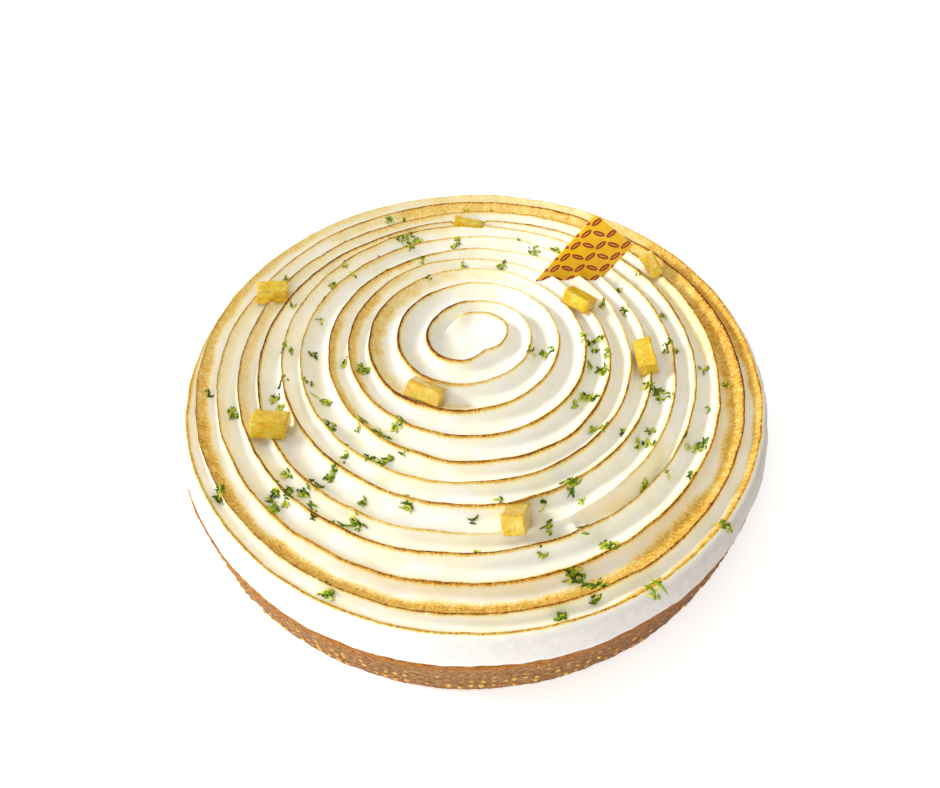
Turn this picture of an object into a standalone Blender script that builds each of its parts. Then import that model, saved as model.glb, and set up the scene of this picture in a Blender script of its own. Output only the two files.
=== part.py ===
# Frozen lemon meringue tart, 22 cm across.
# A solid baked tart case carries one long ridge of meringue, piped in a spiral from the
# middle out to the rim and browned with a torch. Eight candied lemon batons and a thin
# yellow plaque stand in it, and fine shreds of lime zest lie on it.
# Metres, +Z up. The origin is the middle of the underside, and -Y is the front.

import math
import random

import bmesh
import bpy
from mathutils import Euler, Matrix, Vector
from mathutils.bvhtree import BVHTree

MM = 0.001
GAP = 0.3 * MM                      # air between pieces that touch

# Case: the tart ring is 220 mm across and 20 mm high
CASE_HEIGHT = 20.0 * MM
CASE_RADIUS = 110.3 * MM            # at the lip
CASE_FOOT_RADIUS = 109.4 * MM
CASE_EDGE = 0.8 * MM                # rounding of lip and foot
STEPS = 64                          # sides of everything round

# Meringue
MERINGUE_FLOOR = CASE_HEIGHT + GAP
RIDGE_TOP = 30.3 * MM               # height of the toasted ridge above the table
VALLEY_DEPTH = 4.6 * MM
VALLEY_FLAT_AT = 0.35               # where between two ridges the valley is deepest
STEEP_POWER = 2.6                   # outer side of a ridge: a steep drop
GENTLE_POWER = 1.7                  # inner side of a ridge: a long hollow rise
PINCH_WIDTH = 6.0 * MM              # a valley narrower than this grows shallow
WALL_FOOT_RADIUS = 110.2 * MM       # the outer wall leans out from the rim to this
STATIONS = (0.0, 0.13, VALLEY_FLAT_AT, 0.72)    # mesh lines between one ridge and the next

# The piped ridge runs clockwise seen from above, and turn 0 points to START_ANGLE. It was
# piped by hand, so its distance from the middle grows unevenly. The first turn is given as
# (turn, millimetres), and each later turn as four distances, a quarter turn apart.
# Past LAST_TURN the ridge is the rim, and it ends where it runs into itself.
START_ANGLE = math.radians(120)
FIRST_TURN = -0.14
LAST_TURN = 10.86
BANDS = 11
MEETING_RADIUS = 103.5              # in millimetres
FIRST_RIDGE = (
    (FIRST_TURN, 12.0), (0.0, 12.5), (0.25, 15.5), (0.375, 12.5), (0.5, 9.0), (0.625, 13.0), (0.75, 16.5))
LATER_RIDGES = (
    (19.5, 23.0, 23.0, 28.0), (31.5, 34.0, 34.5, 39.5), (42.0, 43.0, 46.0, 47.5),
    (50.0, 50.5, 56.5, 55.5), (57.0, 59.5, 63.0, 65.5), (67.5, 67.0, 70.5, 72.0),
    (76.5, 76.0, 79.0, 81.5), (80.5, 84.0, 85.0, 88.0), (88.0, 91.5, 93.5, 95.0),
    (97.5, 99.5, 101.5, 102.0), (105.0, 105.5, 106.5, 105.5))
FADE_IN_TURNS = 0.2                 # the ridge rises out of the middle hollow over this much
BREAK_TURN = 7.535                  # where the ridge was interrupted and smeared
BREAK_LENGTH = 0.03                 # in turns
BREAK_DROP = 2.6 * MM
WAVES = ((3.3, 0.22 * MM, 0.4), (5.7, 0.16 * MM, 2.1), (9.4, 0.10 * MM, 4.4))
HOLLOW_CENTRE = (-2.0 * MM, -1.5 * MM)
HOLLOW_RINGS = ((0.66, 0.9 * MM), (0.33, 1.3 * MM))     # (share of the width, below the ridge foot)

# Candied lemon batons: size, middle, then turn about Z, pitch and roll in degrees
BATONS = (
    ((13.2, 8.0, 7.0), (-85.2, 27.6, 30.6), (12, 8, 0)),
    ((12.8, 8.0, 7.0), (-68.5, -41.6, 31.0), (1, 7, -17)),
    ((14.8, 5.6, 6.4), (-1.2, 79.7, 28.0), (-9, 7, 0)),
    ((13.8, 8.0, 6.2), (-16.6, -28.0, 30.4), (-22, 7, -38)),
    ((13.0, 7.2, 6.4), (12.4, -76.3, 30.6), (71, 42, -17)),
    ((12.6, 8.0, 6.6), (45.0, 19.6, 30.8), (-41, 3, -22)),
    ((11.6, 7.0, 7.0), (80.4, 41.4, 31.6), (132, -44, -47)),
    ((14.2, 7.4, 7.0), (65.0, -12.6, 30.5), (91, -4, -17)))
BATON_EDGE = 0.6 * MM
BATON_UNEVEN = 0.08                 # knife work: how far a corner may fall short

# Plaque: a thin rectangle leaning to the right and slightly back
PLAQUE_WIDTH = 22.2 * MM
PLAQUE_THICKNESS = 1.4 * MM
PLAQUE_LENGTH = 70.0 * MM           # before its hidden foot is cut level
PLAQUE_TOP_LEFT = (52.6 * MM, 43.0 * MM, 58.0 * MM)
PLAQUE_LEAN_SIDE = math.radians(38.5)
PLAQUE_LEAN_BACK = math.radians(14.5)
PLAQUE_FOOT = 21.9 * MM             # level cut, above the case

# Lime zest: (angle in degrees, distance from the middle in mm, shreds lying together)
ZEST_HEAPS = (
    (325, 49, 7), (228, 90, 7), (112, 75, 6), (339, 71, 6), (231, 84, 4), (289, 101, 4), (201, 91, 4),
    (203, 76, 4), (342, 51, 4), (347, 28, 4), (0, 48, 4), (355, 76, 4), (295, 70, 4), (277, 70, 4),
    (287, 96, 3), (197, 43, 3), (238, 46, 3), (236, 54, 3), (220, 102, 3), (232, 76, 3), (244, 85, 3),
    (243, 62, 3), (315, 60, 3), (326, 89, 3), (72, 47, 3), (57, 71, 3), (191, 50, 2), (226, 56, 2),
    (221, 63, 2), (224, 84, 2), (254, 73, 2), (247, 103, 2), (319, 75, 2), (311, 83, 2), (20, 60, 2),
    (14, 66, 2), (45, 49, 2), (133, 57, 2), (312, 107, 2), (298, 109, 2), (283, 105, 2))
ZEST_HEAP_SPREAD = 0.85 * MM        # of a single shred, growing with the root of their number
ZEST_LOOSE = 14                     # single shreds between the heaps
ZEST_LENGTH = (2.6 * MM, 5.0 * MM)
ZEST_WIDTH = 1.0 * MM
ZEST_THICKNESS = 0.9 * MM
ZEST_PROUD = 0.15 * MM              # how far the middle of a shred stands above the meringue
ZEST_CLEARANCE = 1.4 * MM           # kept between zest and any other piece
ZEST_SEED = 22


def bell(distance):
    """1 at distance 0, falling smoothly to nothing at about 2."""
    return math.exp(-distance * distance)


def smooth_step(value):
    """0 below 0, 1 above 1, and a smooth rise between them."""
    x = min(1.0, max(0.0, value))
    return x * x * (3.0 - 2.0 * x)


def ridge_knots():
    """The distances that the ridge passes through: (turn, millimetres)."""
    knots = list(FIRST_RIDGE)
    for turn, ridge in enumerate(LATER_RIDGES, start=1):
        knots += [(turn + quarter / 4, distance) for quarter, distance in enumerate(ridge)]
    knots += [(turn, MEETING_RADIUS) for turn in (LAST_TURN, LAST_TURN + 1)]
    return sorted(knots)


RIDGE_RADII = ridge_knots()


def ridge_radius(turn):
    """Distance of the ridge from the middle, a smooth curve through RIDGE_RADII."""
    last = len(RIDGE_RADII) - 1
    if turn >= RIDGE_RADII[last][0]:
        return RIDGE_RADII[last][1] * MM
    index = max(i for i in range(last) if RIDGE_RADII[i][0] <= turn + 1e-9)

    def slope(i):
        low = max(0, i - 1)
        high = min(last, i + 1)
        rise = RIDGE_RADII[high][1] - RIDGE_RADII[low][1]
        return rise / (RIDGE_RADII[high][0] - RIDGE_RADII[low][0])

    start, near = RIDGE_RADII[index]
    end, far = RIDGE_RADII[index + 1]
    span = end - start
    x = (turn - start) / span
    near_part = (2 * x**3 - 3 * x**2 + 1) * near + (x**3 - 2 * x**2 + x) * span * slope(index)
    far_part = (3 * x**2 - 2 * x**3) * far + (x**3 - x**2) * span * slope(index + 1)
    return (near_part + far_part) * MM


def ridge_height(turn):
    """Height of the ridge: it rises out of the hollow, wavers, and is smeared flat once."""
    waver = sum(size * math.sin(2 * math.pi * waves * turn + phase) for waves, size, phase in WAVES)
    waver *= smooth_step((LAST_TURN - turn) / 0.5)
    fade = 1.0 - smooth_step((turn - FIRST_TURN) / FADE_IN_TURNS)
    smear = bell((turn - BREAK_TURN) / BREAK_LENGTH)
    return RIDGE_TOP + waver - fade * VALLEY_DEPTH - smear * BREAK_DROP


def top_point(turn, across):
    """A point of the top, at a share of the way from the ridge at this turn to the next one out."""
    near = ridge_radius(turn)
    far = ridge_radius(turn + 1.0)
    floor = RIDGE_TOP - VALLEY_DEPTH * min(1.0, (far - near) / PINCH_WIDTH)
    if across < VALLEY_FLAT_AT:
        share = (1.0 - across / VALLEY_FLAT_AT) ** STEEP_POWER
        height = floor + (ridge_height(turn) - floor) * share
    else:
        share = ((across - VALLEY_FLAT_AT) / (1.0 - VALLEY_FLAT_AT)) ** GENTLE_POWER
        height = floor + (ridge_height(turn + 1.0) - floor) * share
    radius = near + (far - near) * across
    angle = START_ANGLE - 2 * math.pi * turn
    return Vector((radius * math.cos(angle), radius * math.sin(angle), height))


def wall_point(turn, down):
    """A point of the outer wall, at a share of the way from the rim down to the case."""
    rim = ridge_radius(turn)
    radius = rim + (WALL_FOOT_RADIUS - rim) * math.sin(down * math.pi / 2) ** 0.8
    height = RIDGE_TOP + (MERINGUE_FLOOR - RIDGE_TOP) * down ** 1.25
    angle = START_ANGLE - 2 * math.pi * turn
    return Vector((radius * math.cos(angle), radius * math.sin(angle), height))


def radial_line():
    """The mesh lines of one radius: (function, band, share), from the hollow to the lower edge."""
    line = [(top_point, band, across) for band in range(BANDS) for across in STATIONS]
    line += [(wall_point, BANDS, down) for down in (0.0, 0.2, 0.6, 1.0)]
    return line


def place(rule, sweep):
    """Where a mesh line lies when the radius has swept this share of a turn."""
    shape, band, share = rule
    return shape(FIRST_TURN + band + sweep, share)


def meringue_mesh():
    """The piped top: one radius extruded round, its end welded one ridge further out."""
    mesh = bmesh.new()
    line = radial_line()
    number = mesh.verts.layers.int.new("line")
    corners = []
    for index, rule in enumerate(line):
        corner = mesh.verts.new(place(rule, 0.0))
        corner[number] = index
        corners.append(corner)
    edges = [mesh.edges.new(pair) for pair in zip(corners, corners[1:])]
    for step in range(1, STEPS + 1):
        made = bmesh.ops.extrude_edge_only(mesh, edges=edges)["geom"]
        fresh = {item for item in made if isinstance(item, bmesh.types.BMVert)}
        edges = [item for item in made if isinstance(item, bmesh.types.BMEdge) and fresh.issuperset(item.verts)]
        for corner in fresh:
            corner.co = place(line[corner[number]], step / STEPS)
    bmesh.ops.remove_doubles(mesh, verts=mesh.verts, dist=0.001 * MM)
    close_hollow(mesh)
    bmesh.ops.holes_fill(mesh, edges=[edge for edge in mesh.edges if edge.is_boundary])
    bmesh.ops.triangulate(mesh, faces=mesh.faces)
    bmesh.ops.recalc_face_normals(mesh, faces=mesh.faces)
    return mesh


def close_hollow(mesh):
    """The shallow dish in the middle, drawn in from the first ridge ring by ring."""
    middle = Vector((HOLLOW_CENTRE[0], HOLLOW_CENTRE[1], 0.0))
    edges = [edge for edge in mesh.edges if edge.is_boundary and edge.verts[0].co.xy.length < CASE_RADIUS / 2]
    width = 1.0
    for share, drop in HOLLOW_RINGS:
        made = bmesh.ops.extrude_edge_only(mesh, edges=edges)["geom"]
        fresh = {item for item in made if isinstance(item, bmesh.types.BMVert)}
        edges = [item for item in made if isinstance(item, bmesh.types.BMEdge) and fresh.issuperset(item.verts)]
        for corner in fresh:
            flat = middle + (Vector((corner.co.x, corner.co.y, 0.0)) - middle) * (share / width)
            corner.co = Vector((flat.x, flat.y, RIDGE_TOP - VALLEY_DEPTH + 0.6 * MM - drop))
        width = share
    centre = bmesh.ops.contextual_create(mesh, geom=edges)["faces"]
    bmesh.ops.poke(mesh, faces=centre)


def material(name, colour, roughness):
    """A plain finish."""
    finish = bpy.data.materials.new(name)
    finish.use_nodes = True
    shader = finish.node_tree.nodes["Principled BSDF"]
    shader.inputs["Base Color"].default_value = (*colour, 1.0)
    shader.inputs["Roughness"].default_value = roughness
    shader.inputs["Metallic"].default_value = 0.0
    finish.diffuse_color = (*colour, 1.0)
    return finish


def make_object(name, mesh, collection, finish=None):
    """An object from a bmesh, which is freed."""
    data = bpy.data.meshes.new(name)
    mesh.to_mesh(data)
    mesh.free()
    if finish:
        data.materials.append(finish)
    thing = bpy.data.objects.new(name, data)
    collection.objects.link(thing)
    return thing


def new_collection(name):
    """A collection in the scene."""
    collection = bpy.data.collections.new(name)
    bpy.context.scene.collection.children.link(collection)
    return collection


def make_case(collection, finish):
    """The baked case, turned, and solid because the tart is uncut."""
    lip = CASE_RADIUS - CASE_EDGE
    foot = CASE_FOOT_RADIUS - CASE_EDGE
    outline = (
        (0.0, CASE_HEIGHT), (lip, CASE_HEIGHT), (CASE_RADIUS, CASE_HEIGHT - CASE_EDGE),
        ((CASE_RADIUS + CASE_FOOT_RADIUS) / 2, CASE_HEIGHT / 2),
        (CASE_FOOT_RADIUS, CASE_EDGE), (foot, 0.0), (0.0, 0.0))
    mesh = bmesh.new()
    corners = [mesh.verts.new((radius, 0.0, height)) for radius, height in outline]
    for pair in zip(corners, corners[1:]):
        mesh.edges.new(pair)
    case = make_object("crust", mesh, collection, finish)
    turn = case.modifiers.new("Turned", "SCREW")
    turn.steps = STEPS
    turn.render_steps = STEPS
    turn.use_merge_vertices = True
    turn.merge_threshold = 0.01 * MM
    return case


def pose(middle, angles):
    """A matrix from a middle in millimetres and (turn about Z, pitch, roll) in degrees."""
    about_z, pitch, roll = (math.radians(angle) for angle in angles)
    place_at = Matrix.Translation(Vector(middle) * MM)
    return place_at @ Euler((roll, pitch, about_z), "XYZ").to_matrix().to_4x4()


def box_mesh(size, matrix):
    """A box of this size, posed."""
    mesh = bmesh.new()
    bmesh.ops.create_cube(mesh, size=1.0, matrix=matrix @ Matrix.Diagonal((*size, 1.0)))
    return mesh


def make_batons(collection, cutters, finish):
    """Candied lemon peel cut into batons, and the nests that they press into the meringue."""
    draw = random.Random(8)
    for index, (size_mm, middle, angles) in enumerate(BATONS, start=1):
        size = Vector(size_mm) * MM
        matrix = pose(middle, angles)
        mesh = box_mesh(size, matrix)
        for corner in mesh.verts:
            local = matrix.inverted() @ corner.co
            local = Vector([part * (1.0 - draw.uniform(0.0, BATON_UNEVEN)) for part in local])
            corner.co = matrix @ local
        bmesh.ops.bevel(
            mesh, geom=mesh.edges[:], offset=BATON_EDGE, offset_type="OFFSET", segments=1,
            profile=0.5, affect="EDGES", material=-1)
        make_object(f"candied_lemon_{index}", mesh, collection, finish)
        grown = size + Vector((2 * GAP,) * 3)
        make_object(f"nest_{index}", box_mesh(grown, matrix), cutters)


def plaque_mesh(margin, foot):
    """The leaning rectangle, grown by a margin, with its foot cut level at this height."""
    lean = Euler((-PLAQUE_LEAN_BACK, 0.0, 0.0)).to_matrix().to_4x4()
    lean = lean @ Euler((0.0, PLAQUE_LEAN_SIDE, 0.0)).to_matrix().to_4x4()
    centred = Matrix.Translation((PLAQUE_WIDTH / 2, 0.0, -PLAQUE_LENGTH / 2))
    size = (PLAQUE_WIDTH + 2 * margin, PLAQUE_THICKNESS + 2 * margin, PLAQUE_LENGTH + 2 * margin)
    mesh = box_mesh(size, Matrix.Translation(PLAQUE_TOP_LEFT) @ lean @ centred)
    cut = bmesh.ops.bisect_plane(
        mesh, geom=mesh.verts[:] + mesh.edges[:] + mesh.faces[:],
        plane_co=(0.0, 0.0, foot), plane_no=(0.0, 0.0, -1.0), clear_outer=True)
    rim = [item for item in cut["geom_cut"] if isinstance(item, bmesh.types.BMEdge)]
    bmesh.ops.holes_fill(mesh, edges=rim)
    bmesh.ops.recalc_face_normals(mesh, faces=mesh.faces)
    return mesh


def make_plaque(collection, cutters, finish):
    """The plaque and its slot."""
    make_object("plaque", plaque_mesh(0.0, PLAQUE_FOOT), collection, finish)
    make_object("plaque_slot", plaque_mesh(GAP, PLAQUE_FOOT - GAP), cutters)


def zest_spots():
    """Where each shred lies: the heaps first, then loose shreds spread over the top."""
    draw = random.Random(ZEST_SEED)
    spots = []
    for angle, distance, count in ZEST_HEAPS:
        heap = Vector((math.cos(math.radians(angle)), math.sin(math.radians(angle)))) * distance * MM
        spread = ZEST_HEAP_SPREAD * math.sqrt(count)
        for _ in range(count):
            slip = Vector((draw.gauss(0, 1), draw.gauss(0, 1))) * spread
            spots.append((heap + slip, draw.uniform(0, math.pi), draw.uniform(*ZEST_LENGTH)))
    for _ in range(ZEST_LOOSE):
        angle = draw.uniform(0, 2 * math.pi)
        distance = 100 * MM * math.sqrt(draw.uniform(0.05, 1.0))
        spot = Vector((math.cos(angle), math.sin(angle))) * distance
        spots.append((spot, draw.uniform(0, math.pi), draw.uniform(*ZEST_LENGTH) * 0.8))
    return spots


def make_zest(collection, ground, pieces):
    """Bent strips of zest that lie sunk a little in the meringue, clear of the other pieces."""
    tree = BVHTree.FromObject(ground, bpy.context.evaluated_depsgraph_get())
    blocked = []
    for piece in pieces:
        data = piece.data
        flat = [piece.matrix_world @ vertex.co for vertex in data.vertices]
        blocked.append(BVHTree.FromPolygons(flat, [tuple(face.vertices) for face in data.polygons]))
    count = 0
    for spot, heading, length in zest_spots():
        hit, normal, _, _ = tree.ray_cast(Vector((spot.x, spot.y, 0.1)), Vector((0, 0, -1)))
        if hit is None or any(other.find_nearest(hit, length / 2 + ZEST_CLEARANCE)[0] for other in blocked):
            continue
        count += 1
        forward = Vector((math.cos(heading), math.sin(heading), 0.0))
        forward = (forward - normal * forward.dot(normal)).normalized()
        side = normal.cross(forward)
        turn = Matrix((forward, side, normal)).transposed().to_4x4()
        mesh = box_mesh((length, ZEST_WIDTH, ZEST_THICKNESS), Matrix.Identity(4))
        long_edges = [edge for edge in mesh.edges if abs(edge.verts[0].co.x - edge.verts[1].co.x) > length / 2]
        bmesh.ops.subdivide_edges(mesh, edges=long_edges, cuts=1, use_grid_fill=True)
        for corner in mesh.verts:
            if abs(corner.co.x) < length / 4:
                corner.co.y += ZEST_WIDTH * 0.8
        rest = Matrix.Translation(hit + normal * ZEST_PROUD)
        bmesh.ops.transform(mesh, matrix=rest @ turn, verts=mesh.verts)
        make_object(f"shred_{count}", mesh, collection)


def apply_boolean(thing, operation, collection):
    """Join or cut with every object of a collection, and remove them."""
    step = thing.modifiers.new(operation.title(), "BOOLEAN")
    step.operation = operation
    step.operand_type = "COLLECTION"
    step.collection = collection
    step.solver = "EXACT"
    bpy.context.view_layer.update()
    finished = bpy.data.meshes.new_from_object(thing.evaluated_get(bpy.context.evaluated_depsgraph_get()))
    thing.modifiers.clear()
    thing.data = finished
    for used in list(collection.objects):
        bpy.data.objects.remove(used)
    bpy.data.collections.remove(collection)


def keep_largest_body(thing):
    """Drop the loose scraps that a cut can leave."""
    mesh = bmesh.new()
    mesh.from_mesh(thing.data)
    unseen = set(mesh.verts)
    bodies = []
    while unseen:
        body = set()
        edge_of_body = [unseen.pop()]
        while edge_of_body:
            corner = edge_of_body.pop()
            body.add(corner)
            for edge in corner.link_edges:
                other = edge.other_vert(corner)
                if other in unseen:
                    unseen.remove(other)
                    edge_of_body.append(other)
        bodies.append(body)
    bodies.sort(key=len)
    for body in bodies[:-1]:
        bmesh.ops.delete(mesh, geom=list(body), context="VERTS")
    mesh.to_mesh(thing.data)
    mesh.free()


def main():
    """Build the tart."""
    for thing in list(bpy.data.objects):
        bpy.data.objects.remove(thing)
    tart = new_collection("frozen_lemon_meringue_tart")
    cutters = new_collection("cutters")
    zest = new_collection("zest")
    make_case(tart, material("baked_shortcrust", (0.46, 0.22, 0.08), 0.8))
    make_batons(tart, cutters, material("candied_lemon", (0.75, 0.42, 0.04), 0.35))
    make_plaque(tart, cutters, material("yellow_plaque", (0.72, 0.46, 0.01), 0.4))
    pieces = [thing for thing in tart.objects if thing.name != "crust"]
    meringue = make_object("meringue", meringue_mesh(), tart, material("meringue", (0.9, 0.86, 0.74), 0.6))
    apply_boolean(meringue, "DIFFERENCE", cutters)
    keep_largest_body(meringue)
    make_zest(zest, meringue, pieces)
    apply_boolean(meringue, "UNION", zest)
    keep_largest_body(meringue)


main()
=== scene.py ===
# %% [markdown]
# # A frozen lemon meringue tart
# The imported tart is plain: solids of the right size in the right place, with flat sides
# and one dull colour each. Here every piece is modelled again, much finer, over the solid
# that it stands for, so nothing is moved and nothing grows.
# Lengths are in metres, Z points up, and -Y is the front.

# %% Load the plain tart
import math
import random
from functools import lru_cache

import bmesh
import bpy
from mathutils import Euler, Matrix, Vector, noise
from mathutils.bvhtree import BVHTree


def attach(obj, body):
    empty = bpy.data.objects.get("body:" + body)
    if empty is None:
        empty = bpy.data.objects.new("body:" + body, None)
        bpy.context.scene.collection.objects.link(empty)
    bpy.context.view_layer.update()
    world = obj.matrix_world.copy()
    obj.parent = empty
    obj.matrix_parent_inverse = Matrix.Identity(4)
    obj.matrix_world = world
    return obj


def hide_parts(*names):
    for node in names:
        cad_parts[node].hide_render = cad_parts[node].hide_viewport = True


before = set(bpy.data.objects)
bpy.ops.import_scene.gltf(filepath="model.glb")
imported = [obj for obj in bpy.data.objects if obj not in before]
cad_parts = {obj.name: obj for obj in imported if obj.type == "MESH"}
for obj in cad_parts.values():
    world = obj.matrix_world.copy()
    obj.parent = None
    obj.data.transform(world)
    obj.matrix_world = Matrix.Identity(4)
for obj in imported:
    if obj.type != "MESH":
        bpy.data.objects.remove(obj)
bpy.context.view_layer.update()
MM = 0.001


def add_object(name, data):
    """A new object in the scene."""
    made = bpy.data.objects.new(name, data)
    bpy.context.scene.collection.objects.link(made)
    return made


print("plain pieces:", ", ".join(sorted(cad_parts)))

# %% [markdown]
# ## Where the eye is
# A picture of round things tells where it was taken from, because every circle turns
# into an ellipse of its own. Here the eye is about 26 cm from the middle of the tart and
# looks down on it. The picture was cut out of a larger one, so its middle isn't where the
# lens points. The camera's shift copies that: it moves the picture without a turn.

# %% Camera
EYE = Vector((0.0, -169.1, 197.8)) * MM
EYE_ANGLES = [math.radians(angle) for angle in (52.24, 0.52, -0.63)]
PICTURE_WIDTH = 940
PICTURE_HEIGHT = 788
FOCAL_LENGTH_PX = 601.4
LENS_POINTS_AT_PX = (473.0, 261.9)
SENSOR = 36.0

eye_data = bpy.data.cameras.new("eye")
eye_data.sensor_fit = "HORIZONTAL"
eye_data.sensor_width = SENSOR
eye_data.lens = FOCAL_LENGTH_PX / PICTURE_WIDTH * SENSOR
eye_data.shift_x = (PICTURE_WIDTH / 2 - LENS_POINTS_AT_PX[0]) / PICTURE_WIDTH
eye_data.shift_y = (LENS_POINTS_AT_PX[1] - PICTURE_HEIGHT / 2) / PICTURE_WIDTH
eye_data.clip_start = 0.01
eye = add_object("eye", eye_data)
eye.location = EYE
eye.rotation_euler = EYE_ANGLES
bpy.context.scene.camera = eye
print(f"lens {eye_data.lens:.1f} mm, shift {eye_data.shift_x:.4f} {eye_data.shift_y:.4f}")

# %% [markdown]
# ## Tools for the finishes
# A finish is a small network of nodes, and helpers keep the cells short. One turns a
# colour as the eye reads it into the linear numbers that a shader wants, one makes a
# node and wires it, and others do sums and mixes. A speckle is a noise whose grains have
# a size in metres, read at the object's own coordinates, so it moves with the object.

# %% Helpers for finishes
def colour(red, green, blue):
    """A colour on the usual scale of 0 to 255, made linear."""
    parts = []
    for part in (red, green, blue):
        share = part / 255
        parts.append(share / 12.92 if share <= 0.04045 else ((share + 0.055) / 1.055) ** 2.4)
    return (*parts, 1.0)


def new_finish(name, constants):
    """A material whose shader has these sockets set, and its node tree."""
    finish = bpy.data.materials.new(name)
    finish.use_nodes = True
    shader = finish.node_tree.nodes["Principled BSDF"]
    for socket, value in constants.items():
        shader.inputs[socket].default_value = value
    return finish, finish.node_tree


def wire(value, socket):
    """Set a socket to a plain value, or link it to another socket."""
    if isinstance(value, bpy.types.NodeSocket):
        socket.id_data.links.new(value, socket)
    else:
        socket.default_value = value


def add_node(tree, kind, inputs, **settings):
    """A shader node with its settings, and with its inputs set or linked."""
    made = tree.nodes.new("ShaderNode" + kind)
    for name, value in settings.items():
        setattr(made, name, value)
    for key, value in inputs.items():
        wire(value, made.inputs[key])
    return made


def calc(operation, first, second, clamp=False):
    """The result of one sum, in the node tree of whichever value is a socket."""
    tree = (first if isinstance(first, bpy.types.NodeSocket) else second).id_data
    settings = {"operation": operation, "use_clamp": clamp}
    return add_node(tree, "Math", {0: first, 1: second}, **settings).outputs[0]


def plus(first, *others, clamp=False):
    """The sum of several values."""
    for other in others:
        first = calc("ADD", first, other, clamp)
    return first


def minus(first, second, clamp=False):
    """The difference of two values."""
    return calc("SUBTRACT", first, second, clamp)


def times(first, second, clamp=False):
    """The product of two values."""
    return calc("MULTIPLY", first, second, clamp)


def swing(value, amount):
    """A noise turned into a push up or down of this amount."""
    return times(minus(value, 0.5), amount)


def spot(tree):
    """The coordinates of a point on the object."""
    return add_node(tree, "TexCoord", {}).outputs["Object"]


def spot_part(tree, axis):
    """One of those coordinates."""
    return add_node(tree, "SeparateXYZ", {"Vector": spot(tree)}).outputs[axis]


def speckle(tree, size, detail=2.0, where=None, rough=0.5):
    """A noise between 0 and 1 with grains of this size in metres."""
    where = where or spot(tree)
    settings = {"Vector": where, "Scale": 1.0 / size, "Detail": detail, "Roughness": rough}
    return add_node(tree, "TexNoise", settings).outputs["Fac"]


def attribute(tree, name):
    """A value that the mesh carries for each of its corners."""
    return add_node(tree, "Attribute", {}, attribute_name=name).outputs["Fac"]


def ramp(value, stops):
    """A colour looked up between stops of (value, colour from 0 to 255)."""
    made = add_node(value.id_data, "ValToRGB", {"Fac": value})
    band = made.color_ramp
    while len(band.elements) < len(stops):
        band.elements.new(0.5)
    for element, (position, shade) in zip(band.elements, stops):
        element.position = position
        element.color = colour(*shade)
    return made.outputs["Color"]


def blend(share, first, second, kind="MIX"):
    """Two colours mixed by a share."""
    made = add_node(share.id_data, "Mix", {"Factor": share}, data_type="RGBA", blend_type=kind)
    wire(first, made.inputs[6])
    wire(second, made.inputs[7])
    return made.outputs[2]


def relief(height, distance, strength=1.0):
    """Fine relief from a height between 0 and 1, this many metres deep."""
    settings = {"Height": height, "Distance": distance, "Strength": strength}
    return add_node(height.id_data, "Bump", settings).outputs["Normal"]


def feed(socket, value):
    """Link a value to a socket of the shader."""
    wire(value, value.id_data.nodes["Principled BSDF"].inputs[socket])


print("a middle grey in linear numbers:", [round(part, 3) for part in colour(128, 128, 128)])

# %% [markdown]
# ## Tools for the pieces
# Every new piece is a mesh whose object stays at the origin. It takes the place of one
# or more plain solids and rides on the tart's only body.

# %% Helpers for pieces
def written(name, mesh):
    """A bmesh written to mesh data of this name, and freed."""
    data = bpy.data.meshes.new(name)
    mesh.to_mesh(data)
    mesh.free()
    return data


def finished_piece(name, mesh, finish, slot, *stands_for):
    """An object from a bmesh that takes the place of plain solids."""
    data = written(name, mesh)
    data.shade_smooth()
    data.materials.append(finish)
    piece = add_object(name, data)
    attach(piece, "root")
    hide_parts(*stands_for)
    print(f"{name}: {sum(len(face.vertices) - 2 for face in data.polygons)} triangles")
    return piece


def edges_in(items):
    """The edges among what an operator returns."""
    return [item for item in items if isinstance(item, bmesh.types.BMEdge)]


def border(mesh):
    """The edges with a face on one side only."""
    return [edge for edge in mesh.edges if edge.is_boundary]


def extruded(mesh, edges):
    """Extrude edges in place: the new vertices and the new edges along them."""
    made = bmesh.ops.extrude_edge_only(mesh, edges=edges)["geom"]
    fresh = {item for item in made if isinstance(item, bmesh.types.BMVert)}
    return fresh, [edge for edge in edges_in(made) if fresh.issuperset(edge.verts)]


def smooth_step(value):
    """0 below 0, 1 above 1, and a smooth rise between them."""
    x = min(1.0, max(0.0, value))
    return x * x * (3.0 - 2.0 * x)


def bell(distance):
    """1 at distance 0, falling smoothly to nothing at about 2."""
    return math.exp(-distance * distance)


def grain(point, size):
    """Smooth random number between about -1 and 1, with lumps of this size in metres."""
    return noise.noise(point / size)


def lumps(point, layers):
    """Relief from several sizes of lumps: pairs of size and height in metres."""
    return sum(height * grain(point, size) for size, height in layers)


def polar(degrees, distance):
    """A place on the top, from its angle and its distance from the middle in millimetres."""
    angle = math.radians(degrees)
    return Vector((math.cos(angle), math.sin(angle))) * distance * MM


print("a bell at 0, 1 and 2:", [round(bell(step), 2) for step in range(3)])

# %% [markdown]
# ## The piped spiral
# The meringue is one long ribbon, squeezed out of a slit nozzle while the tart turns
# below it. So the top is a spiral ridge, steep outside and hollow inside, and uneven as
# a hand pipes it. The plain solid follows the same law, and its numbers are repeated
# here: the distance of the ridge from the middle at each quarter turn, with a smooth
# curve between.

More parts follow.
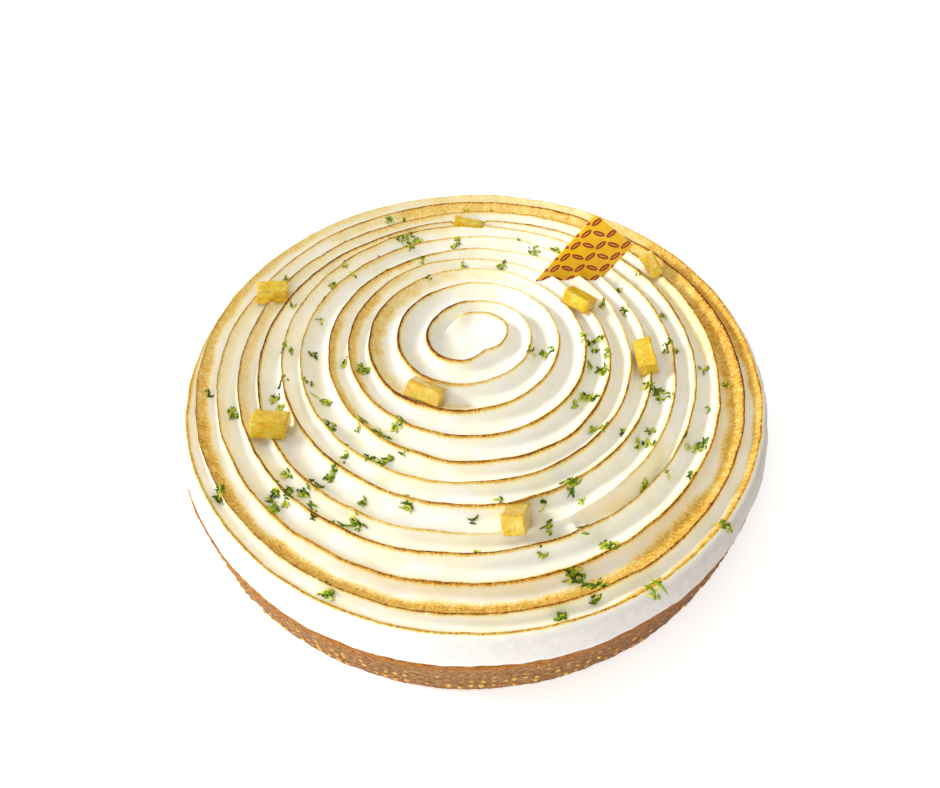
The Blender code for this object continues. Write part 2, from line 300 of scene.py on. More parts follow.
# %% Distance of the ridge from the middle
START_ANGLE = math.radians(120)
FIRST_TURN = -0.14
LAST_TURN = 10.86
BANDS = 11
MEETING_RADIUS = 103.5
FIRST_RIDGE = (
    (FIRST_TURN, 12.0), (0.0, 12.5), (0.25, 15.5), (0.375, 12.5), (0.5, 9.0), (0.625, 13.0),
    (0.75, 16.5))
LATER_RIDGES = (
    (19.5, 23.0, 23.0, 28.0), (31.5, 34.0, 34.5, 39.5), (42.0, 43.0, 46.0, 47.5),
    (50.0, 50.5, 56.5, 55.5), (57.0, 59.5, 63.0, 65.5), (67.5, 67.0, 70.5, 72.0),
    (76.5, 76.0, 79.0, 81.5), (80.5, 84.0, 85.0, 88.0), (88.0, 91.5, 93.5, 95.0),
    (97.5, 99.5, 101.5, 102.0), (105.0, 105.5, 106.5, 105.5))


def ridge_knots():
    """The distances that the ridge passes through: (turn, millimetres)."""
    knots = list(FIRST_RIDGE)
    for turn, ridge in enumerate(LATER_RIDGES, start=1):
        knots += [(turn + quarter / 4, distance) for quarter, distance in enumerate(ridge)]
    knots += [(turn, MEETING_RADIUS) for turn in (LAST_TURN, LAST_TURN + 1)]
    return sorted(knots)


def through(knots, at):
    """A smooth curve through (place, value) pairs."""
    last = len(knots) - 1
    if at <= knots[0][0]:
        return knots[0][1]
    if at >= knots[last][0]:
        return knots[last][1]
    index = max(i for i in range(last) if knots[i][0] <= at)

    def slope(i):
        low, high = max(0, i - 1), min(last, i + 1)
        return (knots[high][1] - knots[low][1]) / (knots[high][0] - knots[low][0])

    (start, near), (end, far) = knots[index], knots[index + 1]
    span = end - start
    x = (at - start) / span
    near_part = (2 * x**3 - 3 * x**2 + 1) * near + (x**3 - 2 * x**2 + x) * span * slope(index)
    return near_part + (3 * x**2 - 2 * x**3) * far + (x**3 - x**2) * span * slope(index + 1)


RIDGE_RADII = ridge_knots()


@lru_cache(maxsize=None)
def ridge_radius(turn):
    """Distance of the ridge from the middle."""
    return through(RIDGE_RADII, turn) * MM


print("the ridge after 1, 5 and 10 turns:", *(round(ridge_radius(turn) / MM, 1) for turn in (1, 5, 10)))

# %% [markdown]
# ## The shape of one ridge
# Cut across, each ridge is a small wave about to break. On either side of the valley the
# height is a power curve: a high power leaves the valley flat and makes the crest sharp.
# The gentle side ends in a lip, a straight strip that turns up to the crest. Where the
# nozzle was lifted the ridge is smeared, and the valley beside it is a deep pocket.

# %% Height of the ridge and of the valley
CASE_HEIGHT = 20.0 * MM
RIDGE_TOP = 30.3 * MM
VALLEY_DEPTH = 4.6 * MM
VALLEY_FLAT_AT = 0.35
STEEP_POWER = 2.6
LIP_AT = 0.57  # of the gentle side, where the lip starts
LIP_HEIGHT = 0.36
PINCH_WIDTH = 6.0 * MM
FADE_IN_TURNS = 0.2
BREAK_TURN = 7.535
BREAK_LENGTH = 0.03
BREAK_DROP = 2.6 * MM
GROOVE_TURN = 7.478  # the pocket beside the smeared place
GROOVE_LENGTH = 0.040
GROOVE_SHIFT = 0.45
GROOVE_DEPTH = 4.2 * MM
WAVES = (  # in the ridge's height: how many a turn, size, phase
    (3.3, 0.22 * MM, 0.4), (5.7, 0.16 * MM, 2.1), (9.4, 0.10 * MM, 4.4))
CALM_TURNS = 0.5  # at the end, where the waver dies away


@lru_cache(maxsize=None)
def ridge_height(turn):
    """Height of the ridge: it rises out of the hollow, wavers, and is smeared flat once."""
    waver = sum(size * math.sin(2 * math.pi * waves * turn + phase) for waves, size, phase in WAVES)
    waver *= smooth_step((LAST_TURN - turn) / CALM_TURNS)
    fade = 1.0 - smooth_step((turn - FIRST_TURN) / FADE_IN_TURNS)
    smear = bell((turn - BREAK_TURN) / BREAK_LENGTH)
    return RIDGE_TOP + waver - fade * VALLEY_DEPTH - smear * BREAK_DROP


def on_circle(turn, radius, height):
    """A point at this turn of the spiral."""
    angle = START_ANGLE - 2 * math.pi * turn
    return Vector((radius * math.cos(angle), radius * math.sin(angle), height))


def top_point(turn, across):
    """A point of the top, at a share of the way from the ridge at this turn to the next one out."""
    near = ridge_radius(turn)
    far = ridge_radius(turn + 1.0)
    groove = bell(((turn - GROOVE_TURN) / GROOVE_LENGTH) ** 2)
    deepest = VALLEY_FLAT_AT + GROOVE_SHIFT * groove
    floor = RIDGE_TOP - VALLEY_DEPTH * min(1.0, (far - near) / PINCH_WIDTH) - GROOVE_DEPTH * groove
    if across < deepest:
        share = (1.0 - across / deepest) ** (STEEP_POWER - (STEEP_POWER - 1.0) * groove)
        height = floor + (ridge_height(turn) - floor) * share
    else:
        share = (across - deepest) / (1.0 - deepest)
        if share < LIP_AT:
            rise = LIP_HEIGHT * (share / LIP_AT) ** 2
        else:
            rise = LIP_HEIGHT + (1.0 - LIP_HEIGHT) * (share - LIP_AT) / (1.0 - LIP_AT)
        height = floor + (ridge_height(turn + 1.0) - floor) * rise
    return on_circle(turn, near + (far - near) * across, height)


print("height of the ridge at its smeared place:", round(ridge_height(BREAK_TURN) / MM, 1), "mm")

# %% [markdown]
# The outer wall was smoothed with a palette knife. It leans out from the rim to the lip
# of the case and hangs over it here and there by a millimetre. On the left it stops
# short of the lip, which shows as a thin line.

# %% The outer wall
WALL_FOOT_RADIUS = 110.2 * MM
WALL_STEPS = (  # shares of the way down
    0.0, 0.05, 0.12, 0.2, 0.3, 0.4, 0.5, 0.6, 0.7, 0.8, 0.89, 0.95, 0.985, 1.0)
WALL_OUT_POWER = 0.8
WALL_DOWN_POWER = 1.25
OVERHANG = 0.9 * MM
MEAN_HANG = 0.35  # of the overhang
HANG_WAVES = ((1 / 7.0, 1.0), (1 / 23.0, 0.5))  # length in radians, and share
LEAST_HANG = -0.3 * MM
SHORT_OF_LIP = 1.1 * MM  # on the left, the foam stops this far inside the lip
LIFTED = 0.4 * MM  # and this much higher
KNIFE_SWELL = 0.45 * MM  # how far the foam that was pushed down bulges out
TUCKED_IN = 0.5 * MM  # how far its lowest edge turns in again


def wall_point(turn, down):
    """A point of the outer wall, at a share of the way from the rim down to the case."""
    rim = ridge_radius(turn)
    radius = rim + (WALL_FOOT_RADIUS - rim) * math.sin(down * math.pi / 2) ** WALL_OUT_POWER
    edge = on_circle(turn, 1.0, 0.0)
    hang = OVERHANG * (MEAN_HANG + lumps(edge, HANG_WAVES))
    left = smooth_step(-1.6 * edge.x - 0.4)
    foot = CASE_HEIGHT - max(LEAST_HANG, hang) + LIFTED * left
    radius += (KNIFE_SWELL - SHORT_OF_LIP * left) * smooth_step((down - 0.6) / 0.35)
    radius -= TUCKED_IN * smooth_step((down - 0.93) / 0.07)
    height = RIDGE_TOP + (foot - RIDGE_TOP) * down**WALL_DOWN_POWER
    return on_circle(turn, radius, height)


print("the wall leans out by", round((WALL_FOOT_RADIUS - ridge_radius(11.0)) / MM, 1), "mm at the back")

# %% [markdown]
# ## The plaque's place
# The plaque was pushed into the fresh meringue, which closed round its foot. So its pose
# is needed first: a turn to the side and one backwards about its upper left corner.

# %% Where the plaque stands
PLAQUE_WIDTH = 22.2 * MM
PLAQUE_THICKNESS = 1.4 * MM
PLAQUE_LENGTH = 70.0 * MM
PLAQUE_TOP_LEFT = Vector((52.6, 43.0, 58.0)) * MM
PLAQUE_LEAN_SIDE = math.radians(38.5)
PLAQUE_LEAN_BACK = math.radians(14.5)
PLAQUE_FOOT = 21.9 * MM
PLAQUE_EDGE = 3.0 * MM  # its effect on the meringue fades over this, at its sides


def plaque_pose():
    """From the plaque's own frame, with its middle at the origin, to the tart."""
    lean = Euler((-PLAQUE_LEAN_BACK, 0.0, 0.0)).to_matrix().to_4x4()
    lean = lean @ Euler((0.0, PLAQUE_LEAN_SIDE, 0.0)).to_matrix().to_4x4()
    hang = Matrix.Translation((PLAQUE_WIDTH / 2, 0.0, -PLAQUE_LENGTH / 2))
    return Matrix.Translation(PLAQUE_TOP_LEFT) @ lean @ hang


TO_PLAQUE = plaque_pose().inverted()


def near_plaque(point, reach):
    """How close a point is to the front of the plaque's foot, from 0 to 1."""
    local = TO_PLAQUE @ point
    inside = smooth_step((PLAQUE_WIDTH / 2 - abs(local.x)) / PLAQUE_EDGE + 0.5)
    return inside * bell(local.y / reach)


# %% [markdown]
# ## Where the strips of lemon lie
# The strips were laid on the soft meringue and sank in a little, so their places are
# needed now too. Round a strip the meringue gives way by less than a millimetre.

# %% Where the strips of lemon lie
BATONS = (  # size and middle in mm; turn about Z, pitch and roll in degrees
    ((13.2, 8.0, 7.0), (-85.2, 27.6, 30.6), (12, 8, 0)),
    ((12.8, 8.0, 7.0), (-68.5, -41.6, 31.0), (1, 7, -17)),
    ((14.8, 5.6, 6.4), (-1.2, 79.7, 28.0), (-9, 7, 0)),
    ((13.8, 8.0, 6.2), (-16.6, -28.0, 30.4), (-22, 7, -38)),
    ((13.0, 7.2, 6.4), (12.4, -76.3, 30.6), (71, 42, -17)),
    ((12.6, 8.0, 6.6), (45.0, 19.6, 30.8), (-41, 3, -22)),
    ((11.6, 7.0, 7.0), (80.4, 41.4, 31.6), (132, -44, -47)),
    ((14.2, 7.4, 7.0), (65.0, -12.6, 30.5), (91, -4, -17)))
PRESS_REACH = 1.1 * MM
PRESS_DEPTH = 0.8 * MM


def baton_pose(middle, angles):
    """A matrix from a middle in millimetres and (turn about Z, pitch, roll) in degrees."""
    about_z, pitch, roll = (math.radians(angle) for angle in angles)
    turned = Euler((roll, pitch, about_z), "XYZ").to_matrix().to_4x4()
    return Matrix.Translation(Vector(middle) * MM) @ turned


STRIP_FRAMES = [
    (baton_pose(middle, angles).inverted(), Vector(size) * MM / 2)
    for size, middle, angles in BATONS]


def pressed(point):
    """How far a strip pushes the meringue down here."""
    deepest = 0.0
    for to_strip, half in STRIP_FRAMES:
        local = to_strip @ point
        inside = min(half.x - abs(local.x), half.y - abs(local.y)) + PRESS_REACH
        if inside > 0.0 and abs(local.z) < 2 * half.z:
            above = min(PRESS_DEPTH, local.z + half.z)
            deepest = max(deepest, above * smooth_step(inside / PRESS_REACH))
    return deepest


print("strips of lemon:", len(STRIP_FRAMES))

# %% [markdown]
# ## Where the torch went
# The torch browns what stands up. Every crest has a dark line, wider on the steep side,
# which the flame met first, and on some stretches the gentle side is golden too. Both
# are given along the ridge: the darkness of the line as a digit for each eighth of a
# turn, and a list of golden stretches.

# %% Darkness of the crest line and the golden stretches
LINE_DARKNESS = (  # a row for each turn: 0 is bare, 9 is nearly black
    "34454689", "84453579", "73465788", "53476667", "53477657", "73367455",
    "63376675", "64572478", "76775676", "65676665", "66775443", "33455542")
GOLDEN = (  # from turn, to turn, level reach in mm, strength
    (2.59, 2.72, 8.0, 0.20), (2.72, 2.82, 7.0, 0.26), (2.81, 2.91, 6.5, 0.44),
    (2.89, 2.98, 6.0, 0.32), (2.98, 3.05, 5.5, 0.20), (3.06, 3.13, 5.0, 0.13),
    (3.68, 3.77, 2.6, 0.36), (3.75, 3.92, 3.8, 0.48), (3.91, 3.98, 3.0, 0.26),
    (4.62, 4.71, 2.0, 0.40), (4.70, 4.86, 3.4, 0.50), (4.85, 5.00, 2.0, 0.36),
    (5.60, 5.70, 0.9, 0.30), (5.88, 6.00, 2.4, 0.24), (6.92, 7.05, 2.6, 0.16),
    (7.93, 8.03, 1.4, 0.22), (8.50, 8.63, 0.9, 0.58), (8.77, 8.88, 4.0, 0.26),
    (8.86, 9.02, 3.0, 0.14), (9.00, 9.05, 2.4, 0.32), (9.05, 9.10, 1.6, 0.18),
    (9.28, 9.345, 6.5, 0.20), (9.61, 9.69, 1.8, 0.22), (9.76, 9.87, 3.6, 0.14),
    (9.86, 9.98, 3.0, 0.09), (9.97, 10.02, 4.5, 0.22), (10.03, 10.19, 6.0, 0.50),
    (10.17, 10.29, 7.5, 0.48), (10.27, 10.32, 5.5, 0.58), (10.30, 10.37, 8.5, 0.68),
    (10.36, 10.42, 6.5, 0.64), (10.42, 10.46, 4.6, 0.58), (10.46, 10.50, 7.0, 0.68),
    (10.49, 10.54, 5.5, 0.62), (10.53, 10.68, 5.2, 0.70), (10.67, 10.77, 4.4, 0.66),
    (10.75, 10.82, 4.0, 0.54), (10.80, 10.88, 3.0, 0.44), (10.86, 10.94, 2.4, 0.36),
    (10.93, 11.01, 2.4, 0.22), (11.00, 11.07, 3.0, 0.12), (11.06, 11.20, 4.4, 0.26),
    (11.19, 11.26, 5.3, 0.42), (11.24, 11.345, 4.8, 0.66), (11.34, 11.38, 3.0, 0.64),
    (11.375, 11.44, 2.3, 0.62), (11.43, 11.51, 1.6, 0.60), (11.50, 11.70, 0.9, 0.60),
    (11.69, 11.80, 0.8, 0.45))
STRETCH_END = 0.03  # beyond its ends a stretch fades over this much of a turn
INNER_LINE = 0.58 * MM
OUTER_LINE = 0.90 * MM
RIM_LINE = 0.30 * MM
RIM_DARKNESS = 0.6  # of the darkness elsewhere
LEAST_WIDTH = 0.4  # share of its width that even a pale line has
LINE_FROM = -0.03  # the turn where the line starts, and how long it takes
LINE_GROWS = 0.08
BARE_AT_BREAK = 1.4  # of the length of the smeared place
HALOS = ((3.5 * MM, 0.09), (0.7 * MM, 0.30))  # cream and gold inside every dark line
GLOW_WIDTH = 1.5  # golden edge of the line itself
GLOW_STRENGTH = 0.55
OUTER_GOLD = 0.40 * MM
GOLD_FULL_TO = 0.45  # share of its reach from where a golden stretch fades
PATCHES = ((31.0, 0.22), (97.0, 0.12))  # changes a turn in the line, and by how much
RAGGED = (61.0, 0.28)  # the same for the reach of the golden stretches
LEAST_REACH = 0.3  # share of its reach that a golden stretch has at its ends
PLAQUE_SHIELD = 3.5 * MM  # the plaque kept the flame off this far in front of it


DARKNESS_KNOTS = [
    (row + eighth / 8, int(digit) / 9)
    for row, digits in enumerate(LINE_DARKNESS) for eighth, digit in enumerate(digits)]


def patchy(turn, rate, amount):
    """A random change along the ridge, this many to a turn."""
    return amount * noise.noise(Vector((turn * rate, rate, 0.0)))


@lru_cache(maxsize=None)
def torched(turn):
    """(darkness of the crest line, list of (level reach, strength) of golden bands) at this turn."""
    dark = max(0.0, through(DARKNESS_KNOTS, turn)) * smooth_step((turn - LINE_FROM) / LINE_GROWS)
    dark *= 1.0 - bell((turn - BREAK_TURN) / (BARE_AT_BREAK * BREAK_LENGTH))
    dark *= RIM_DARKNESS if turn > LAST_TURN else 1.0
    dark *= 1.0 + sum(patchy(turn, *patch) for patch in PATCHES)
    ragged = 1.0 + patchy(turn, *RAGGED)
    bands = [(reach, share * dark) for reach, share in HALOS]
    for start, end, far, amount in GOLDEN:
        here = smooth_step((turn - start) / STRETCH_END + 1.0)
        here *= smooth_step((end - turn) / STRETCH_END + 1.0)
        if here > 0.0:
            reach = (LEAST_REACH + (1.0 - LEAST_REACH) * here) * ragged * far * MM
            bands.append((reach, here * amount))
    return dark, bands


def browning(turn, to_crest, outside):
    """(toast, scorch) at this step from the crest of this turn: golden area and dark line."""
    dark, bands = torched(turn)
    away, level = to_crest.length, to_crest.xy.length
    if outside:
        width = (RIM_LINE if turn > LAST_TURN else OUTER_LINE) * (LEAST_WIDTH + dark)
        toast = max(strength for _, strength in bands) * bell(away / OUTER_GOLD)
    else:
        width = INNER_LINE * (LEAST_WIDTH + dark)
        toast = max(
            strength * (1.0 - smooth_step((level / reach - GOLD_FULL_TO) / (1.0 - GOLD_FULL_TO)))
            for reach, strength in bands)
    toast = max(toast, GLOW_STRENGTH * dark * bell(away / (GLOW_WIDTH * width)))
    return toast, dark * bell(away / width)


def browned(turn, point):
    """(toast, scorch) of a point between the crest of this turn and the next one out."""
    shades = []
    for crest_turn, outside in ((turn, True), (turn + 1.0, False)):
        crest = on_circle(crest_turn, ridge_radius(crest_turn), ridge_height(crest_turn))
        shades.append(browning(crest_turn, point - crest, outside))
    bare = 1.0 - near_plaque(point, PLAQUE_SHIELD)
    return max(shade[0] for shade in shades) * bare, max(shade[1] for shade in shades) * bare


print("darkness of the line after 9.75 turns:", round(torched(9.75)[0], 2))

# %% [markdown]
# ## The meringue
# A ribbon swept along a spiral curve has two sides, and its turns would overlap. Here
# one line of vertices, from the middle hollow out over all the ridges and down the wall,
# is extruded right round the tart, and each vertex then goes where the law of the spiral
# puts it. After a whole turn the end of the sweep lies on its start, one ridge further
# out, and the two are welded. The outer ridges are longer, so their edges are split once.

# %% Sweep one radius round the tart
STATIONS = (
    0.0, 0.02, 0.05, 0.10, 0.16, 0.23, 0.31, 0.40, 0.50, 0.60, 0.66, 0.72, 0.80, 0.88, 0.94, 0.975)
SWEEP_STEPS = 328
FINE_FROM_BAND = 6


def radial_line():
    """The mesh lines of one radius: (function, band, share), from the hollow to the lower edge."""
    line = [(top_point, band, across) for band in range(BANDS) for across in STATIONS]
    return line + [(wall_point, BANDS, down) for down in WALL_STEPS]


def sweep_radius():
    """The whole upper surface before its vertices are placed, with two numbers on each vertex."""
    mesh = bmesh.new()
    which = mesh.verts.layers.float.new("which_line")
    swept = mesh.verts.layers.float.new("swept")
    line = []
    for index in range(len(radial_line())):
        corner = mesh.verts.new((index * MM, 0.0, 0.0))
        corner[which] = index
        line.append(corner)
    edges = [mesh.edges.new(pair) for pair in zip(line, line[1:])]
    for step in range(1, SWEEP_STEPS + 1):
        fresh, edges = extruded(mesh, edges)
        for corner in fresh:
            corner[swept] = step / SWEEP_STEPS
    first_fine = FINE_FROM_BAND * len(STATIONS)
    long_edges = [
        edge for edge in mesh.edges
        if edge.verts[0][which] == edge.verts[1][which] and edge.verts[0][which] >= first_fine]
    bmesh.ops.subdivide_edges(mesh, edges=long_edges, cuts=1)
    return mesh


skin = sweep_radius()
print("vertices of the swept radius:", len(skin.verts))

# %% [markdown]
# Placing is a loop over the vertices. Each one gets its point on the law, a little
# random drift so that no two ridges are alike, a push where the plaque or a strip went
# in, and its two values of browning, which the finish reads later.

# %% Put every vertex in its place
DRIFTS = ((11.0 * MM, 0.40 * MM), (4.0 * MM, 0.16 * MM), (1.6 * MM, 0.07 * MM))
DRIFT_SEED = 5
PLAQUE_PUSH = 0.6 * MM
PLAQUE_PUSH_REACH = 4.0 * MM
PLAQUE_FILL = 0.55  # share of a valley that the push fills
FOAM_LUMPS = (  # torn foam at the smeared place: (x, y), reach and height in mm
    ((29.2, -77.0), 1.7, 2.1), ((33.6, -75.6), 1.2, 1.5),
    ((25.4, -79.4), 1.3, 1.1), ((38.0, -72.6), 1.0, 0.9))
FOAM_UNEVEN = 0.8
FOAM_GRAIN = 1.2 * MM

noise.seed_set(DRIFT_SEED)  # unseeded, noise_vector differs from run to run


def drift(point):
    """The unevenness of hand piping: a slow sway and two finer ones."""
    return sum((noise.noise_vector(point / size) * amount for size, amount in DRIFTS), Vector())


def torn_foam(point):
    """Height of the foam that was pulled up where the nozzle left."""
    uneven = 1.0 + FOAM_UNEVEN * grain(point, FOAM_GRAIN)
    return uneven * sum(
        height * MM * bell((point.xy / MM - Vector(place)).length / reach)
        for place, reach, height in FOAM_LUMPS)


def place_skin(mesh):
    """Move each vertex to its point and note how brown it is."""
    which = mesh.verts.layers.float["which_line"]
    swept = mesh.verts.layers.float["swept"]
    toast = mesh.verts.layers.float.new("toast")
    scorch = mesh.verts.layers.float.new("scorch")
    wall = mesh.verts.layers.float.new("wall")
    rules = radial_line()
    for corner in mesh.verts:
        shape, band, share = rules[round(corner[which])]
        corner[wall] = share if band == BANDS else 0.0
        turn = FIRST_TURN + band + corner[swept]
        point = shape(turn, share)
        corner[toast], corner[scorch] = browned(turn, point)
        push = PLAQUE_PUSH + PLAQUE_FILL * (RIDGE_TOP - point.z)
        push = push * near_plaque(point, PLAQUE_PUSH_REACH) + torn_foam(point) - pressed(point)
        corner.co = point + drift(point) + Vector((0.0, 0.0, push))


place_skin(skin)
bmesh.ops.remove_doubles(skin, verts=skin.verts, dist=0.001 * MM)
print("after welding:", len(skin.verts), "vertices")

# %% [markdown]
# What is left open is the hollow in the middle and the underside. The hollow is closed
# by drawing its border in towards the middle in rings, each a little lower, and its
# slopes are then smoothed. The underside gets one flat face.

# %% Close the hollow and the underside
HOLLOW_CENTRE = Vector((-2.0 * MM, -1.5 * MM, 0.0))
HOLLOW_RINGS = 14
HOLLOW_DEPTH = 1.5 * MM
HOLLOW_RIM = RIDGE_TOP - VALLEY_DEPTH
SOFT_RADIUS = 19.0 * MM
SOFT_SCORCH = 0.12  # what is browner than this stays as sharp as it is
SOFT_PASSES = 8


def brown_hollow(mesh, corners):
    """The browning of the hollow's vertices, from their distance to the crest that they hang from."""
    layers = mesh.verts.layers.float
    names = ("which_line", "swept", "toast", "scorch")
    which, swept, toast, scorch = (layers[name] for name in names)
    for corner in corners:
        turn = FIRST_TURN + corner[swept] + (1.0 if corner[which] > 0 else 0.0)
        crest = on_circle(turn, ridge_radius(turn), ridge_height(turn))
        corner[toast], corner[scorch] = browning(turn, corner.co - crest - drift(crest), False)


def close_hollow(mesh):
    """A shallow dish, ring by ring."""
    edges = [edge for edge in border(mesh) if edge.verts[0].co.xy.length < WALL_FOOT_RADIUS / 2]
    width = 1.0
    for ring in range(1, HOLLOW_RINGS + 1):
        share = 1.0 - ring / (HOLLOW_RINGS + 1)
        shrink = share / width
        dish = HOLLOW_DEPTH * (share**2 - (share + 1 / (HOLLOW_RINGS + 1)) ** 2)
        fresh, edges = extruded(mesh, edges)
        for corner in fresh:
            height = HOLLOW_RIM + (corner.co.z - HOLLOW_RIM) * shrink**3 + dish
            corner.co = HOLLOW_CENTRE + (corner.co - HOLLOW_CENTRE) * shrink
            corner.co.z = height
        brown_hollow(mesh, fresh)
        width = share
    middle = bmesh.ops.contextual_create(mesh, geom=edges)["faces"]
    bmesh.ops.poke(mesh, faces=middle)
    return len(edges)


def soften_start(mesh):
    """Smooth the place where the ribbon starts, but not the browned crests."""
    scorch = mesh.verts.layers.float["scorch"]
    corners = [
        corner for corner in mesh.verts
        if corner.co.xy.length < SOFT_RADIUS and corner[scorch] < SOFT_SCORCH]
    axes = {f"use_axis_{axis}": True for axis in "xyz"}
    for _ in range(SOFT_PASSES):
        bmesh.ops.smooth_vert(mesh, verts=corners, factor=0.5, **axes)
    return len(corners)


print("vertices round the hollow:", close_hollow(skin))
print("vertices smoothed:", soften_start(skin))
bmesh.ops.holes_fill(skin, edges=border(skin))
bmesh.ops.triangulate(skin, faces=[face for face in skin.faces if len(face.verts) > 4])
bmesh.ops.recalc_face_normals(skin, faces=skin.faces)
print("open edges left:", len(border(skin)))

# %% [markdown]
# ## The finish of the meringue
# Raw meringue is a warm white foam that lets light in a little, so its shadows are soft.
# The torch turns it gold, then brown, then nearly black. The two values on the vertices
# say where, and together they look up one row of colours. Noises break that up: grains
# of two sizes, single burnt bubbles from a cell noise, and streaks that point to the
# middle, because they read the direction from there. Browned sugar is a crust, so less
# light gets into it and its relief is rougher. The wall, pressed flat by the knife, has a
# painted shade: it turns a mottled grey towards the right, the side away from the light. The wall,
# pressed flat by the knife, is a
# little greyer on the right.

# %% Meringue finish
MERINGUE_WHITE = (252, 250, 243)
MERINGUE_CREAM = (250, 245, 222)
WALL_WHITE = colour(252, 250, 247)
# painted shade: the wall's colour on its right side, away from the light, and where that shade begins
WALL_PAINTED_SHADE = colour(196, 187, 178)
WALL_SHADE_FROM_X = -25 * MM
BROWN_STOPS = (
    (0.00, (251, 248, 232)), (0.08, (251, 242, 206)), (0.20, (248, 226, 156)),
    (0.34, (240, 204, 106)), (0.48, (230, 178, 60)), (0.62, (208, 144, 28)),
    (0.76, (154, 84, 8)), (0.88, (112, 48, 2)), (1.00, (62, 20, 0)))
TOAST_SHARE = 0.66  # of the way to black that full toast alone goes
SCORCH_SHARE = 0.80
BUBBLE_SIZE = 0.62 * MM


def streaks(tree, across_mm, along_mm):
    """Noise drawn out across the ridges."""
    level = {axis: spot_part(tree, axis) for axis in "XY"}
    flat = add_node(tree, "CombineXYZ", level).outputs[0]
    reach = add_node(tree, "VectorMath", {0: flat}, operation="LENGTH").outputs["Value"]
    heading = add_node(tree, "VectorMath", {0: flat}, operation="NORMALIZE").outputs["Vector"]
    pitch = {0: heading, "Scale": 100.0 / along_mm}
    drawn = add_node(tree, "VectorMath", pitch, operation="SCALE").outputs[0]
    outwards = times(reach, 1000.0 / across_mm)
    lift = add_node(tree, "CombineXYZ", {"Z": outwards}).outputs[0]
    where = add_node(tree, "VectorMath", {0: drawn, 1: lift}, operation="ADD")
    return speckle(tree, 1.0, 2.0, where.outputs[0])


def meringue_finish():
    """White foam browned by a torch."""
    finish, tree = new_finish("torched_meringue", {
        "Roughness": 0.55, "Subsurface Radius": (1.0, 0.85, 0.7),
        "Subsurface Scale": 2.0 * MM, "Specular IOR Level": 0.35})
    value = plus(
        times(attribute(tree, "toast"), TOAST_SHARE),
        times(attribute(tree, "scorch"), SCORCH_SHARE))
    grains = speckle(tree, 0.5 * MM, 2.0, rough=0.65)
    cells = {"Vector": spot(tree), "Scale": 1.0 / BUBBLE_SIZE}
    bubbles = add_node(tree, "TexVoronoi", cells).outputs
    single = add_node(tree, "SeparateColor", {"Color": bubbles["Color"]}).outputs["Red"]
    uneven = plus(
        swing(grains, 1.0), swing(single, 0.34),
        swing(speckle(tree, 3.2 * MM, 3.0), 0.45), swing(streaks(tree, 4.0, 0.7), 0.60))
    middling = times(times(value, 1.8), minus(1.3, value))
    brown = plus(value, times(uneven, middling), clamp=True)
    cream = ramp(speckle(tree, 13 * MM, 3.0), ((0.35, MERINGUE_WHITE), (0.65, MERINGUE_CREAM)))
    # painted shade: the wall turns a mottled grey towards the right, away from the light
    grey = times(minus(spot_part(tree, "X"), WALL_SHADE_FROM_X), 9.0, clamp=True)
    grey = plus(grey, swing(speckle(tree, 2.2 * MM, 4.0, rough=0.65), 0.5), clamp=True)
    wall_with_painted_shade = blend(grey, WALL_WHITE, WALL_PAINTED_SHADE)
    cream = blend(times(attribute(tree, "wall"), 4.0, clamp=True), cream, wall_with_painted_shade)
    toasted = times(brown, 14.0, clamp=True)
    feed("Base Color", blend(toasted, cream, ramp(brown, BROWN_STOPS)))
    feed("Subsurface Weight", minus(0.32, brown, clamp=True))
    foam = speckle(tree, 0.8 * MM, 3.0, rough=0.65)
    crust = times(plus(grains, swing(bubbles["Distance"], -0.8)), brown)
    height = plus(times(foam, 0.35), times(crust, 1.6))
    feed("Normal", relief(height, 0.30 * MM, 0.85))
    return finish


meringue = finished_piece("piped_meringue", skin, meringue_finish(), "meringue", "meringue")

# %% [markdown]
# ## Lime zest
# The zest fell in small heaps and as single shreds, curled strips a few millimetres long
# with crumbs round them. Each shred or crumb is a little bar, cut across a few times,
# thinned towards its ends, curled and laid on the meringue where a ray from above meets
# it. All are joined to one piece.

# %% Where the zest fell
ZEST_HEAPS = (
    (325, 49, 7), (228, 90, 7), (112, 75, 6), (339, 71, 6), (231, 84, 4), (289, 101, 4), (201, 91, 4),
    (203, 76, 4), (342, 51, 4), (347, 28, 4), (0, 48, 4), (355, 76, 4), (295, 70, 4), (277, 70, 4),
    (287, 96, 3), (197, 43, 3), (238, 46, 3), (236, 54, 3), (220, 102, 3), (232, 76, 3), (244, 85, 3),
    (243, 62, 3), (315, 60, 3), (326, 89, 3), (72, 47, 3), (57, 71, 3), (191, 50, 2), (226, 56, 2),
    (221, 63, 2), (224, 84, 2), (254, 73, 2), (247, 103, 2), (319, 75, 2), (311, 83, 2), (20, 60, 2),
    (14, 66, 2), (45, 49, 2), (133, 57, 2), (312, 107, 2), (298, 109, 2), (283, 105, 2))
ZEST_HEAP_SPREAD = 0.85 * MM  # of a single shred, growing with the root of their number
ZEST_LOOSE = 14
ZEST_LENGTH = (2.6 * MM, 5.0 * MM)
LOOSE_LENGTH = 0.8  # of the length of a shred in a heap
ZEST_SEED = 22
TUFT_SEED = 31
CRUMB_SECTORS = (  # angle from and to, distance from and to, number of tufts
    (94, 100, 44, 74, 5), (113, 119, 52, 68, 8), (112, 120, 70, 80, 3), (112, 118, 36, 42, 1),
    (110, 135, 80, 98, 3), (140, 154, 65, 94, 6), (155, 200, 60, 80, 9), (203, 215, 22, 70, 2),
    (228, 246, 60, 94, 6), (280, 300, 72, 92, 8), (314, 342, 66, 96, 6), (340, 360, 34, 60, 5),
    (345, 355, 88, 98, 2), (5, 35, 50, 86, 3), (60, 75, 54, 80, 4), (80, 95, 88, 96, 2))


def slip(draw, spread):
    """A random step aside."""
    return Vector((draw.gauss(0, 1), draw.gauss(0, 1))) * spread


